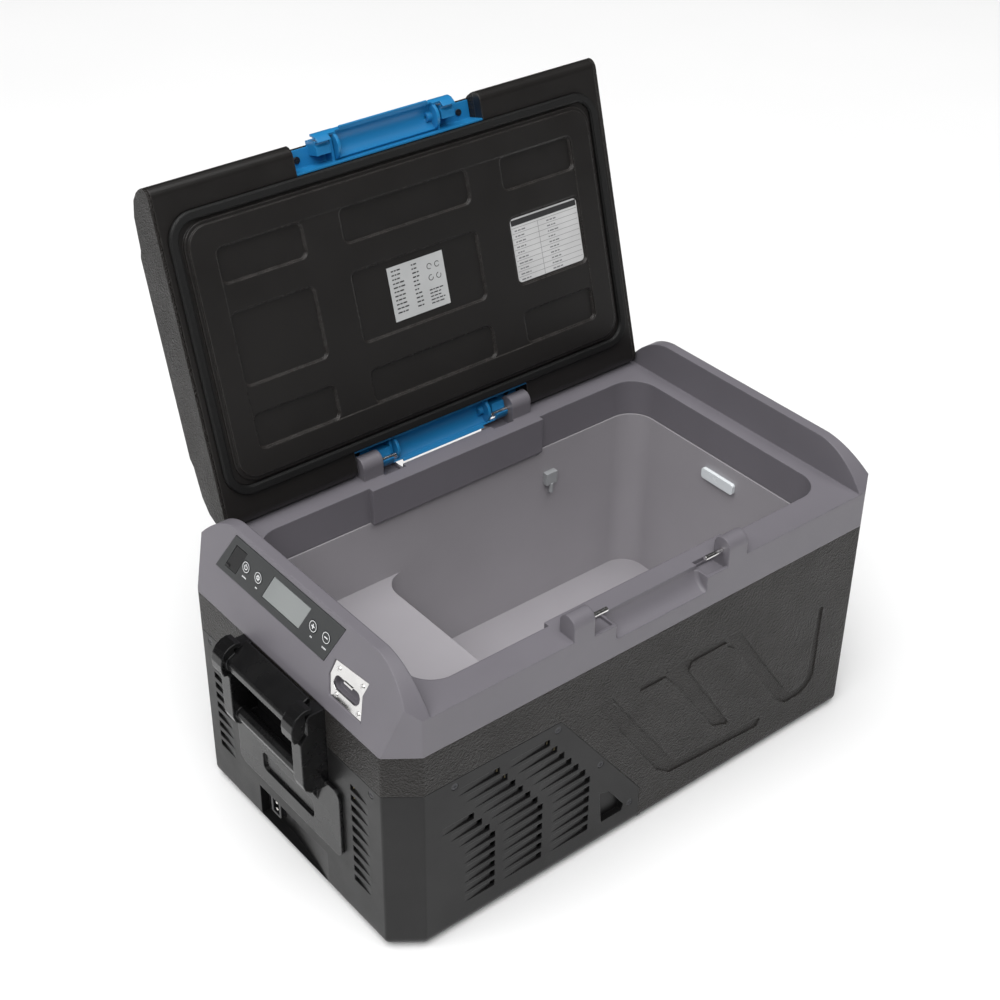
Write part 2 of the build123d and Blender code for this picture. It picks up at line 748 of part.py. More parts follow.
# ================================================================ lid, closed position
def lid_face(x, d):
    """Lid cross section: raised middle, rolled long edges, drawn in by d."""
    half = [(0, lid_top - d), (94, lid_top - d), (101.5 - d * 0.3, 305.3 - d), (131 - d * 0.5, 302.5 - d),
            (146 - d * 0.8, 296 - d * 0.7), (153.5 - d, 287.5 - d * 0.2), (156.6 - d, 281), (lid_y - d, 276.5)]
    roll = []
    for k in range(1, 7):
        a = math.radians(-15 * k)
        r = 9.0 - d
        roll.append((lid_y - 9 + r * math.cos(a), lid_rim + 9 + r * math.sin(a)))
    right = half + roll
    left = [(-a, b) for a, b in reversed(right) if a > 0]
    return [(a, b) for a, b in right] + left


def lid_solid(d, x_half):
    return prism_yz(lid_face(0, d), -x_half, x_half)


def latch_notch(grow):
    cut = box(-notch_x - grow, notch_x + grow, -lid_y - 5, -notch_y + grow, lid_rim - 8, notch_z + grow)
    return cut + mirror(cut, Plane.XZ)


rim_split = 279.0


def make_lid_shell():
    body = lid_solid(0, lid_x)
    lower = box(-246, 246, -200, 200, 200, rim_split)
    shell = body - lower - (lid_solid(3, 246) - box(-300, 300, -200, 200, 200, 270.5))
    shell += (lid_solid(0, 246) - lid_solid(3.01, 246)) & latch_notch(3.0) & box(-300, 300, -200, 200, rim_split, 400)
    walls = latch_notch(3.0) & lid_solid(2.9, 245.9) & box(-300, 300, -200, 200, rim_split, 400)
    return shell + walls - latch_notch(0)


def gasket_ring(x, y, r, t, z0, z1):
    return rbox(-x, x, -y, y, z0, z1, r) - rbox(-x + t, x - t, -y + t, y - t, z0 - 1, z1 + 1, r - t)


pocket_columns = ((-201, -112), (-73, 73), (112, 201))
pocket_rows = ((-94, -60), (-34.5, 34.5), (60, 94))


def make_lid_inner_panel():
    body = lid_solid(0, 245.8) & box(-300, 300, -200, 200, 200, rim_split - 0.2)
    inside = lid_solid(2.5, 243.0) & box(-300, 300, -200, 200, lid_rim + 2.5, 400)
    panel = body - inside
    plug = rbox(-228, 228, -119.5, 119.5, 264.8, 270, 22) + rbox(-224.5, 224.5, -116, 116, 262.5, 270, 19)
    panel += plug
    panel -= rbox(-220, 220, -111, 111, 268.0, 275, 16)
    groove = gasket_ring(240.5, 131.0, 26, 9.0, lid_rim - 1, lid_rim + 1.2)
    panel -= groove
    field_x = pocket_columns[-1][1]
    field_y = pocket_rows[-1][1]
    panel -= rbox(-field_x, field_x, -field_y, field_y, 260, 263.3, 7)
    for x0, x1 in pocket_columns:
        for y0, y1 in pocket_rows:
            panel -= rbox(x0, x1, y0, y1, 260, 264.6, 7)
            panel -= rbox(x0 + 1.2, x1 - 1.2, y0 + 1.2, y1 - 1.2, 260, 266.2, 5.8)
    walls = latch_notch(2.5) & (inside + rbox(-228, 228, -119.5, 119.5, 264.8, 270, 22))
    walls = walls & box(-300, 300, -200, 200, 200, rim_split - 0.2)
    return panel + walls - latch_notch(0)


def make_lid_gasket():
    seal = gasket_ring(240.2, 130.7, 25.7, 8.4, 265.0, lid_rim + 1.0)
    bulb = gasket_ring(239.4, 129.9, 24.9, 6.6, 263.5, 265.2)
    return seal + bulb


def make_lid_foam():
    block = lid_solid(3.4, 242.6) & box(-300, 300, -200, 200, lid_rim + 3.2, 400)
    return block - latch_notch(3.4)


def make_rating_label():
    return box(-33, 31, -26, 26, 265.8, 266.2)


def make_storage_label():
    label = rbox(114.6, 198.6, -31.8, 31.8, 265.8, 266.2, 4.2)
    return label


# ---------------------------------------------------------------- latch hardware, front, closed
def make_latch_bracket():
    ceiling = box(-104, 104, -150, -131.4, 287.2, 289.8)
    lip = box(-104, 104, -133.4, -131.4, lid_rim, 287.4)
    bracket = ceiling + lip
    for side in (1, -1):
        x0, x1 = sorted((side * 57.6, side * 60.4))
        bracket += box(x0, x1, -154.6, -133, 276.0, 289.8)
        x2, x3 = sorted((side * 62.2, side * 77.0))
        saddle = box(x2, x3, -155.2, -142, 272.9, 289.8)
        saddle -= rod((side * 50, -pin_y, pin_z), (side * 90, -pin_y, pin_z), pin_r + 0.08)
        bracket += saddle
        x4, x5 = sorted((side * 62.2, side * 104))
        bracket += box(x4, x5, -133.4, -131.4, lid_rim, 289.8)
        bracket -= rod((side * 50, -piv_y, piv_z), (side * 61.0, -piv_y, piv_z), piv_r)
        bracket -= rod((side * 91, -141, 280), (side * 91, -141, 295), 1.8)
    return bracket


def make_latch_pivots():
    pins = []
    for side in (1, -1):
        pins.append(rod((side * 51.5, -piv_y, piv_z), (side * 60.4, -piv_y, piv_z), piv_r))
    return pins


def make_latch_screws():
    heads = []
    for side in (1, -1):
        heads.append(screw_head((side * 91, -141, 287.2), (0, 0, -1), 3.2, 1.2) +
                     rod((side * 91, -141, 287.1), (side * 91, -141, 289.7), 1.8))
    return heads


def make_latch_bar(hook_end):
    """Trough shaped grip bar with hooks; hook_end is where they stop, under the pins or short of them."""
    bar = sector(-piv_y - 1.85, piv_z - 13.25, 14.65, 16.25, 28, 143, -57, 57)
    bar += sector(-piv_y, piv_z, 12.95, 15.0, 187, 206, -57, 57)
    bar += sector(-piv_y, piv_z, 12.95, 17.4, 200, 207, -49, 49)
    for side in (1, -1):
        x0, x1 = sorted((side * 54.0, side * 57.0))
        bar += rod((x0, -piv_y, piv_z), (x1, -piv_y, piv_z), 13.0) & box(x0, x1, -170, -piv_y + 12.4, 262, 286.4)
        bar += rod((side * 49, -piv_y, piv_z), (side * 57, -piv_y, piv_z), 4.6)
        x2, x3 = sorted((side * 54.0, side * 77.0))
        bar += sector(-piv_y, piv_z, 12.95, 15.0, 184, 214, x2, x3)
        x4, x5 = sorted((side * 62.6, side * 76.6))
        hook = sector(-piv_y, piv_z, 12.95, 15.0, 184, 268, x4, x5)
        bar += hook & box(x4, x5, -170, hook_end, 260, 290)
        bar -= rod((side * 48, -piv_y, piv_z), (side * 58, -piv_y, piv_z), piv_r + 0.05)
    for r_in, r_out, start in ((6.15, 9.2, 156), (9.1, 11.3, 165), (11.2, 13.4, 176.5), (13.3, 18, 182)):
        bar -= sector(-piv_y, piv_z, r_in, r_out, 40, start, -80, 80)
    return bar


def make_latch_springs():
    """Flat return springs between the bracket lip and the bar ends."""
    springs = []
    for side in (1, -1):
        x0, x1 = sorted((side * 40.0, side * 46.0))
        springs.append(box(x0, x1, -140.5, -133.4, 284.2, 287.2))
    return springs


# ================================================================ lid placement and export
hinge_line = Axis((0, pin_y, pin_z), (1, 0, 0))


def opened(shape):
    if isinstance(shape, list):
        return [item.rotate(hinge_line, -lid_open) for item in shape]
    return shape.rotate(hinge_line, -lid_open)


def to_rear(shape):
    if isinstance(shape, list):
        return [mirror(item, Plane.XZ) for item in shape]
    return mirror(shape, Plane.XZ)


def to_right(shape):
    if isinstance(shape, list):
        return [mirror(item, Plane.YZ) for item in shape]
    return mirror(shape, Plane.YZ)


def save(name, shape):
    if isinstance(shape, list):
        shape = Compound(children=shape)
    export_step(shape, "parts/" + name + ".step")


def main():
    os.makedirs("parts", exist_ok=True)
    save("body_shell", make_body_shell())
    save("machine_cover", make_machine_cover())
    save("cover_screws", make_cover_screws())
    save("top_frame", make_top_frame())
    save("inner_liner", make_inner_liner())
    save("foam_insulation", make_foam_insulation())
    save("evaporator_coil", make_evaporator_coil())
    save("interior_light", make_interior_light())
    save("temperature_sensor", make_temperature_sensor())
    save("base_tray", make_base_tray())
    save("compressor", make_compressor())
    save("compressor_mounts", make_compressor_mounts())
    save("condenser_fins", make_condenser_fins())
    save("condenser_tube", make_condenser_tube())
    save("fan_shroud", make_fan_shroud())
    save("fan_motor", make_fan_motor())
    save("fan_rotor", make_fan_rotor())
    save("filter_drier", make_filter_drier())
    save("suction_pipe", make_suction_pipe())
    save("discharge_pipe", make_discharge_pipe())
    save("power_board", make_power_board())
    save("dc_inlet", make_dc_inlet())
    save("dc_inlet_pins", make_dc_inlet_pins())
    save("rubber_feet", make_rubber_feet())
    save("control_panel", make_control_panel())
    save("display_lens", make_display_lens())
    save("control_board", make_control_board())
    for name in buttons:
        save(name, make_button(name))
    save("usb_socket", make_usb_socket())
    save("usb_flap", make_usb_flap())
    save("bottle_opener", make_bottle_opener())
    save("opener_screws", make_opener_screws())
    save("front_steel_pins", make_steel_pins(-pin_y))
    save("rear_steel_pins", make_steel_pins(pin_y))
    save("left_handle_bracket", make_left_handle_bracket())
    save("left_handle_grip", make_left_handle_grip())
    save("left_handle_pins", make_left_handle_pins())
    save("right_handle_bracket", to_right(make_left_handle_bracket()))
    save("right_handle_grip", to_right(make_left_handle_grip()))
    save("right_handle_pins", to_right(make_left_handle_pins()))
    save("lid_shell", opened(make_lid_shell()))
    save("lid_inner_panel", opened(make_lid_inner_panel()))
    save("lid_gasket", opened(make_lid_gasket()))
    save("lid_foam", opened(make_lid_foam()))
    save("rating_label", opened(make_rating_label()))
    save("storage_label", opened(make_storage_label()))
    save("front_latch_bracket", opened(make_latch_bracket()))
    save("rear_latch_bracket", opened(to_rear(make_latch_bracket())))
    save("front_latch_pivots", opened(make_latch_pivots()))
    save("rear_latch_pivots", opened(to_rear(make_latch_pivots())))
    save("latch_bracket_screws", opened(make_latch_screws() + to_rear(make_latch_screws())))
    save("front_latch_bar", opened(make_latch_bar(-pin_y - pin_r - 0.25)))
    save("rear_latch_bar", opened(to_rear(make_latch_bar(-pin_y))))
    save("front_latch_springs", opened(make_latch_springs()))
    save("rear_latch_springs", opened(to_rear(make_latch_springs())))


main()
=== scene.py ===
"""Looks for the portable compressor fridge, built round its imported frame.

Metres, in the row frame: +X storage end, -X control end, -Y front, +Z up.
The lid's own details are placed in closed-lid coordinates and turned to rest with the lid.
"""
import json
import math
import random

import bpy
from mathutils import Matrix, Vector


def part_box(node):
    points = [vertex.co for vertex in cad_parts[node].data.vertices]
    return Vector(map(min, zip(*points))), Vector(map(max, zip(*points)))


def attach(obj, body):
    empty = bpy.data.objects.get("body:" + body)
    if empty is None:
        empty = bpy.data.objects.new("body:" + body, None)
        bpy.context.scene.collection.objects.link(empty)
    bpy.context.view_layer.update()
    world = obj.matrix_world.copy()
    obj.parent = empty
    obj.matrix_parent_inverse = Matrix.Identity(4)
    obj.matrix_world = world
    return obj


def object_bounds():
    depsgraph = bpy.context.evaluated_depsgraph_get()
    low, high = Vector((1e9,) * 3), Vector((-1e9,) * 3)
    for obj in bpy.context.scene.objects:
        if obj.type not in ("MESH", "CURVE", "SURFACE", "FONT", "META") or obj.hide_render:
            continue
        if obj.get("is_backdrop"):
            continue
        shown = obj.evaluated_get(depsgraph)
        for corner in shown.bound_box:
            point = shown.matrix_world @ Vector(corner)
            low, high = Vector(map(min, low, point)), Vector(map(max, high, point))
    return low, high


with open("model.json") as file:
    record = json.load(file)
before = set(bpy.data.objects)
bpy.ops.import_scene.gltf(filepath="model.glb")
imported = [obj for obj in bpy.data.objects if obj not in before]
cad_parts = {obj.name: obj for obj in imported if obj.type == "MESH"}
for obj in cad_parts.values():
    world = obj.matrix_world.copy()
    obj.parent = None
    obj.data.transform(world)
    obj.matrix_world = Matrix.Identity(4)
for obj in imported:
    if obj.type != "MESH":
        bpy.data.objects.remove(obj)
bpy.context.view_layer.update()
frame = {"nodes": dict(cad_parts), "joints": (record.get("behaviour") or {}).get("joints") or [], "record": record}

RECORD = frame["record"]
NODES = frame["nodes"]
JOINTS = {joint["name"]: joint for joint in frame["joints"]}
MM = 0.001


# ---------------------------------------------------------------- material building blocks
class Shader:
    """A material's node tree with short calls for the nodes used here."""

    def __init__(self, name):
        self.material = bpy.data.materials.new(name)
        self.material.use_nodes = True
        self.tree = self.material.node_tree
        self.surface = self.tree.nodes["Principled BSDF"]
        coords = self.tree.nodes.new("ShaderNodeTexCoord")
        self.place = coords.outputs["Object"]

    def link(self, source, target):
        self.tree.links.new(source, target)

    def set(self, **values):
        for key, value in values.items():
            self.surface.inputs[key.replace("_", " ")].default_value = value

    def noise(self, scale, detail=2.0, rough=0.5, stretch=None, distort=0.0):
        node = self.tree.nodes.new("ShaderNodeTexNoise")
        node.inputs["Scale"].default_value = scale
        node.inputs["Detail"].default_value = detail
        node.inputs["Roughness"].default_value = rough
        node.inputs["Distortion"].default_value = distort
        self.link(self.stretched(stretch), node.inputs["Vector"])
        return node.outputs["Fac"]

    def cells(self, scale, stretch=None):
        node = self.tree.nodes.new("ShaderNodeTexVoronoi")
        node.feature = "SMOOTH_F1"
        node.inputs["Scale"].default_value = scale
        node.inputs["Smoothness"].default_value = 0.6
        self.link(self.stretched(stretch), node.inputs["Vector"])
        return node.outputs["Distance"]

    def stretched(self, stretch):
        if stretch is None:
            return self.place
        node = self.tree.nodes.new("ShaderNodeMapping")
        node.inputs["Scale"].default_value = stretch
        self.link(self.place, node.inputs["Vector"])
        return node.outputs["Vector"]

    def math(self, operation, a, b):
        node = self.tree.nodes.new("ShaderNodeMath")
        node.operation = operation
        for value, socket in ((a, node.inputs[0]), (b, node.inputs[1])):
            if isinstance(value, (int, float)):
                socket.default_value = value
            else:
                self.link(value, socket)
        return node.outputs["Value"]

    def ramp(self, source, low, high, out_low=0.0, out_high=1.0):
        node = self.tree.nodes.new("ShaderNodeMapRange")
        node.inputs["From Min"].default_value = low
        node.inputs["From Max"].default_value = high
        node.inputs["To Min"].default_value = out_low
        node.inputs["To Max"].default_value = out_high
        self.link(source, node.inputs["Value"])
        return node.outputs["Result"]

    def mix(self, factor, a, b):
        node = self.tree.nodes.new("ShaderNodeMix")
        node.data_type = "RGBA"
        self.link(factor, node.inputs["Factor"])
        for value, socket in ((a, node.inputs["A"]), (b, node.inputs["B"])):
            if isinstance(value, tuple):
                socket.default_value = (*value, 1.0)
            else:
                self.link(value, socket)
        return node.outputs["Result"]

    def rounded(self, radius):
        """Shading normal with the edges rounded, and a mask of the edges themselves."""
        bevel = self.tree.nodes.new("ShaderNodeBevel")
        bevel.samples = 4
        bevel.inputs["Radius"].default_value = radius
        geometry = self.tree.nodes.new("ShaderNodeNewGeometry")
        dot = self.tree.nodes.new("ShaderNodeVectorMath")
        dot.operation = "DOT_PRODUCT"
        self.link(bevel.outputs["Normal"], dot.inputs[0])
        self.link(geometry.outputs["Normal"], dot.inputs[1])
        return bevel.outputs["Normal"], self.ramp(dot.outputs["Value"], 0.995, 0.90)

    def bump(self, height, distance, strength=1.0, normal=None):
        node = self.tree.nodes.new("ShaderNodeBump")
        node.inputs["Strength"].default_value = strength
        node.inputs["Distance"].default_value = distance
        self.link(height, node.inputs["Height"])
        if normal is not None:
            self.link(normal, node.inputs["Normal"])
        return node.outputs["Normal"]


def tinted(colour, factor):
    return tuple(min(1.0, channel * factor) for channel in colour)


def moulded(name, colour, rough, grain=(900, 0.00006), spread=0.10, edge=0.0012, edge_highlight_and_wear=1.5, specular=0.4,
            coat=0.0):
    """Moulded plastic: fine surface grain, slow colour drift, and slightly polished edges whose colour is
    lightened in patches, a painted edge highlight that also stands for wear.
    """
    s = Shader(name)
    drift = s.ramp(s.noise(11, 3), 0.3, 0.7)
    base = s.mix(drift, tinted(colour, 1 - spread), tinted(colour, 1 + spread))
    normal, edges = s.rounded(edge)
    # Painted edge highlight, partly also wear: the rounded edges, broken up by noise, are coloured lighter than
    # the plastic and made a little less rough.
    edge_highlight_and_scuffs = s.math("MULTIPLY", edges, s.ramp(s.noise(160, 3), 0.35, 0.7, 0.35, 1.0))
    s.link(s.mix(edge_highlight_and_scuffs, base, tinted(colour, edge_highlight_and_wear)), s.surface.inputs["Base Color"])
    smudges = s.ramp(s.noise(26, 4, 0.6), 0.3, 0.75, rough - 0.05, rough + 0.07)
    s.link(s.math("SUBTRACT", smudges, s.math("MULTIPLY", edge_highlight_and_scuffs, 0.08)), s.surface.inputs["Roughness"])
    scale, depth = grain
    height = s.math("ADD", s.cells(scale), s.math("MULTIPLY", s.noise(scale * 0.45, 3, 0.6), 0.9))
    s.link(s.bump(height, depth, 1.0, normal), s.surface.inputs["Normal"])
    s.set(Specular_IOR_Level=specular, Coat_Weight=coat, Coat_Roughness=0.12)
    return s.material


def metal(name, colour, rough, brush=None, edge=0.0005, spread=0.06, metallic=1.0):
    """Bare or plated metal, brushed along one axis when brush gives the stretch."""
    s = Shader(name)
    streaks = s.noise(240, 3, 0.6, stretch=brush) if brush else s.noise(90, 4, 0.6)
    base = s.mix(s.ramp(streaks, 0.3, 0.7), tinted(colour, 1 - spread), tinted(colour, 1 + spread))
    normal, edges = s.rounded(edge)
    # Painted edge highlight: the rounded edges are coloured a quarter lighter than the metal.
    s.link(s.mix(edges, base, tinted(colour, 1.25)), s.surface.inputs["Base Color"])
    s.link(s.ramp(streaks, 0.25, 0.75, rough * 0.75, rough * 1.35), s.surface.inputs["Roughness"])
    s.link(s.bump(streaks, 0.00002, 0.6, normal), s.surface.inputs["Normal"])
    s.set(Metallic=metallic)
    return s.material


def foam_material():
    s = Shader("foam")
    bubbles = s.cells(700)
    base = s.mix(s.ramp(bubbles, 0.1, 0.7), (0.62, 0.50, 0.28), (0.80, 0.70, 0.46))
    s.link(base, s.surface.inputs["Base Color"])
    s.link(s.bump(bubbles, 0.0004), s.surface.inputs["Normal"])
    s.set(Roughness=0.85)
    return s.material


def board_material():
    """Green board with copper traces showing through the mask."""
    s = Shader("board")
    traces = s.ramp(s.noise(900, 0, 0.5, stretch=(1, 0.08, 1)), 0.52, 0.54)
    base = s.mix(traces, (0.012, 0.11, 0.045), (0.03, 0.19, 0.08))
    s.link(base, s.surface.inputs["Base Color"])
    s.link(s.ramp(s.noise(60), 0.3, 0.7, 0.30, 0.45), s.surface.inputs["Roughness"])
    s.link(s.bump(traces, 0.00004), s.surface.inputs["Normal"])
    return s.material


def display_material():
    """Unlit display: pale grey cell under a clear gloss lens, a little darker round the border."""
    s = Shader("display")
    cloud = s.ramp(s.noise(9, 1), 0.3, 0.7)
    base = s.mix(cloud, (0.20, 0.215, 0.215), (0.28, 0.295, 0.29))
    normal, edges = s.rounded(0.0009)
    s.link(s.mix(edges, base, (0.12, 0.13, 0.13)), s.surface.inputs["Base Color"])
    s.link(s.ramp(s.noise(12), 0.3, 0.7, 0.22, 0.27), s.surface.inputs["Roughness"])
    s.link(normal, s.surface.inputs["Normal"])
    s.set(Specular_IOR_Level=0.4, Coat_Weight=0.35, Coat_Roughness=0.05)
    return s.material


def film_material(name, colour):
    """Printed adhesive film with slight ripples."""
    s = Shader(name)
    base = s.mix(s.ramp(s.noise(30, 3), 0.3, 0.7), tinted(colour, 0.94), tinted(colour, 1.04))
    s.link(base, s.surface.inputs["Base Color"])
    s.link(s.ramp(s.noise(70), 0.3, 0.7, 0.30, 0.42), s.surface.inputs["Roughness"])
    s.link(s.bump(s.noise(55, 2), 0.0003, 0.5), s.surface.inputs["Normal"])
    return s.material


CHARCOAL = (0.0160, 0.0142, 0.0130)
SATIN_BLACK = (0.0070, 0.0068, 0.0070)
PALE_GREY = (0.158, 0.149, 0.167)
BLUE = (0.014, 0.190, 0.430)

# Surface grains: cells in a metre, and depth in metres.
LEATHER_GRAIN = (640, 0.0012)
SATIN_GRAIN = (1100, 0.00004)
FINE_GRAIN = (1300, 0.00003)
RUBBER_GRAIN = (900, 0.00006)

# Each material's edge factor colours its rounded edges lighter: a painted edge highlight that also stands for
# wear.
MATERIALS = {
    "body_plastic": moulded("body_plastic", CHARCOAL, 0.42, LEATHER_GRAIN, edge=0.0022, edge_highlight_and_wear=1.9,
                            specular=0.3),
    "lid_plastic": moulded("lid_plastic", CHARCOAL, 0.42, LEATHER_GRAIN, edge=0.0022, edge_highlight_and_wear=1.9,
                           specular=0.3),
    "cover_plastic": moulded("cover_plastic", SATIN_BLACK, 0.36, (1100, 0.00005), edge=0.0012, edge_highlight_and_wear=3.0,
                             specular=0.25),
    "frame_plastic": moulded("frame_plastic", PALE_GREY, 0.40, (1300, 0.00004), spread=0.04, edge=0.0020,
                             edge_highlight_and_wear=1.25),
    "liner_plastic": moulded("liner_plastic", (0.33, 0.315, 0.335), 0.34, (1500, 0.00002), spread=0.03,
                             edge=0.0008, edge_highlight_and_wear=1.05, specular=0.4),
    "foam": foam_material(),
    "tube_metal": metal("tube_metal", (0.72, 0.73, 0.75), 0.35),
    "copper_tube": metal("copper_tube", (0.62, 0.28, 0.16), 0.30),
    "light_lens": moulded("light_lens", (0.80, 0.84, 0.86), 0.25, (900, 0.00003), spread=0.03, edge_highlight_and_wear=1.05,
                          specular=0.6),
    "sensor_plastic": moulded("sensor_plastic", (0.36, 0.37, 0.38), 0.40, (1200, 0.00003)),
    "tray_steel": metal("tray_steel", (0.34, 0.35, 0.36), 0.45),
    "compressor_steel": moulded("compressor_steel", (0.012, 0.012, 0.014), 0.28, (400, 0.00006), edge=0.003,
                                specular=0.6),
    "mount_rubber": moulded("mount_rubber", (0.018, 0.018, 0.018), 0.72, (700, 0.00010)),
    "fin_metal": metal("fin_metal", (0.66, 0.67, 0.69), 0.38, brush=(1, 0.05, 1)),
    "fan_plastic": moulded("fan_plastic", (0.014, 0.014, 0.015), 0.42, SATIN_GRAIN),
    "board": board_material(),
    "inlet_plastic": moulded("inlet_plastic", (0.010, 0.010, 0.011), 0.30, (1200, 0.00003), specular=0.5),
    "brass_pin": metal("brass_pin", (0.78, 0.76, 0.72), 0.22),
    "foot_rubber": moulded("foot_rubber", (0.016, 0.016, 0.016), 0.75, (600, 0.00012)),
    "panel_plastic": moulded("panel_plastic", (0.030, 0.032, 0.033), 0.40, FINE_GRAIN, spread=0.04,
                             edge=0.0006, edge_highlight_and_wear=1.3),
    "display": display_material(),
    "button_plastic": moulded("button_plastic", (0.026, 0.028, 0.029), 0.42, FINE_GRAIN, edge=0.0006,
                              edge_highlight_and_wear=1.3),
    "flap_rubber": moulded("flap_rubber", (0.006, 0.006, 0.0065), 0.50, RUBBER_GRAIN, edge=0.0006),
    "socket_metal": metal("socket_metal", (0.55, 0.55, 0.56), 0.32),
    "polished_steel": metal("polished_steel", (0.80, 0.79, 0.78), 0.13, edge=0.0008),
    "screw_steel": metal("screw_steel", (0.07, 0.07, 0.075), 0.40),
    "pin_steel": metal("pin_steel", (0.78, 0.77, 0.76), 0.20, brush=(1, 0.1, 0.1)),
    "handle_plastic": moulded("handle_plastic", (0.0045, 0.0044, 0.0047), 0.26, SATIN_GRAIN, edge=0.0018,
                              edge_highlight_and_wear=4.0, specular=0.35),
    "lid_panel_plastic": moulded("lid_panel_plastic", (0.0130, 0.0118, 0.0112), 0.33, (1200, 0.00004),
                                 edge=0.0018, edge_highlight_and_wear=4.5, specular=0.4),
    "gasket_rubber": moulded("gasket_rubber", (0.006, 0.006, 0.006), 0.55, RUBBER_GRAIN, edge=0.0020,
                             edge_highlight_and_wear=1.6),
    "label_film": film_material("label_film", (0.55, 0.56, 0.56)),
    "label_white": film_material("label_white", (0.66, 0.66, 0.66)),
    "latch_blue": moulded("latch_blue", BLUE, 0.34, SATIN_GRAIN, spread=0.05, edge=0.0010, edge_highlight_and_wear=1.35,
                          specular=0.5),
    "spring_steel": metal("spring_steel", (0.62, 0.62, 0.63), 0.28),
}


def print_material(name, colour, rough=0.45):
    """Screen printed ink, faintly uneven."""
    s = Shader(name)
    base = s.mix(s.ramp(s.noise(1200, 2), 0.3, 0.7), tinted(colour, 0.90), tinted(colour, 1.05))
    s.link(base, s.surface.inputs["Base Color"])
    s.link(s.ramp(s.noise(500), 0.3, 0.7, rough - 0.05, rough + 0.05), s.surface.inputs["Roughness"])
    return s.material


WHITE_INK = print_material("white_ink", (0.80, 0.81, 0.82))
DARK_INK = print_material("dark_ink", (0.030, 0.030, 0.032))
GREY_INK = print_material("grey_ink", (0.20, 0.20, 0.21))

SLOT_OF = {part["node"]: part["material_slot"] for part in RECORD["subparts"]}
for node_name, node in NODES.items():
    node.data.materials.clear()
    node.data.materials.append(MATERIALS[SLOT_OF[node_name]])


# ---------------------------------------------------------------- flat printed pieces
def strip_ring(centre, r_in, r_out, start=0.0, sweep=360.0, steps=40):
    """Quads of a flat ring or arc, in the plane's own millimetres."""
    quads = []
    for k in range(steps):
        a = math.radians(start + sweep * k / steps)
        b = math.radians(start + sweep * (k + 1) / steps)
        quads.append([(centre[0] + r * math.cos(t), centre[1] + r * math.sin(t))
                      for r, t in ((r_in, a), (r_out, a), (r_out, b), (r_in, b))])
    return quads


def rectangle(x0, x1, y0, y1):
    return [(x0, y0), (x1, y0), (x1, y1), (x0, y1)]


def printed(name, outlines, origin, across, up, ink, body, thick=0.00005):
    """Thin raised ink: each outline, in millimetres across and up, becomes a low prism."""
    normal = across.cross(up).normalized()
    vertices = []
    faces = []
    for outline in outlines:
        first = len(vertices)
        count = len(outline)
        for lift in (0.0, thick):
            for a, b in outline:
                vertices.append(origin + across * (a * MM) + up * (b * MM) + normal * lift)
        faces.append([first + k for k in reversed(range(count))])
        faces.append([first + count + k for k in range(count)])
        for k in range(count):
            n = (k + 1) % count
            faces.append([first + k, first + n, first + count + n, first + count + k])
    mesh = bpy.data.meshes.new(name)
    mesh.from_pydata(vertices, [], faces)
    mesh.validate()
    piece = bpy.data.objects.new(name, mesh)
    bpy.context.scene.collection.objects.link(piece)
    mesh.materials.append(ink)
    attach(piece, body)
    return piece


# ---------------------------------------------------------------- control panel prints
PRESS = Vector(JOINTS["power_press"]["axis"])
OUT = -PRESS
ACROSS = Vector((0, -1, 0))
UP = OUT.cross(ACROSS)
KEY_THICKNESS = 2.2 * MM
KEY_ABOVE_PANEL = 0.3 * MM
INK_CLEARANCE = 0.00002
KEY_RING = (4.45, 5.0)        # radii in millimetres
MARK_ROW = (-10.6, -9.2)      # lower and upper edge of the marks below the keys, in millimetres
MARK_GAP = 0.5


def top_of(node):
    """Centre of a key's outer face on the sloping panel, just clear of it."""
    low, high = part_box(node)
    return (low + high) / 2 + OUT * (KEY_THICKNESS / 2 + INK_CLEARANCE)


def gear():
    """A gear wheel symbol: a ring with eight tapered teeth, each given by radius and half width."""
    teeth = []
    for k in range(8):
        angle = math.radians(45 * k)
        outward = (math.cos(angle), math.sin(angle))
        aside = (-outward[1], outward[0])
        teeth.append([(outward[0] * r + aside[0] * w, outward[1] * r + aside[1] * w)
                      for r, w in ((1.7, -0.55), (2.75, -0.42), (2.75, 0.42), (1.7, 0.55))])
    return strip_ring((0, 0), 1.0, 1.9) + teeth


SYMBOLS = {
    "power": strip_ring((0, 0), 1.7, 2.5, 125, 290) + [rectangle(-0.4, 0.4, 0.3, 3.0)],
    "settings": gear(),
    "plus": [rectangle(-2.3, 2.3, -0.55, 0.55), rectangle(-0.55, 0.55, 0.56, 2.3),
             rectangle(-0.55, 0.55, -2.3, -0.56)],
    "minus": [rectangle(-2.3, 2.3, -0.6, 0.6)],
}
for key, glyph in SYMBOLS.items():
    printed(key + "_symbol", strip_ring((0, 0), *KEY_RING) + glyph, top_of(key + "_button"), ACROSS, UP,
            WHITE_INK, key + "_key")

# Generic marks below each key: widths of the bars that stand for its letters, in millimetres.
mark_widths = {
    "power": (1.3, 1.0, 1.3, 0.9),
    "settings": (1.2, 1.0),
    "plus": (1.1, 0.9),
    "minus": (1.2, 1.0, 1.1, 0.9),
}
panel_marks = []
for key, widths in mark_widths.items():
    low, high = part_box(key + "_button")
    middle = -(low.y + high.y) / 2 / MM
    left = middle - (sum(widths) + MARK_GAP * (len(widths) - 1)) / 2
    for width in widths:
        panel_marks.append(rectangle(left, left + width, *MARK_ROW))
        left += width + MARK_GAP
anchor = top_of("power_button")
anchor.y = 0
printed("panel_marks", panel_marks, anchor - OUT * KEY_ABOVE_PANEL, ACROSS, UP, WHITE_INK, "cabinet")

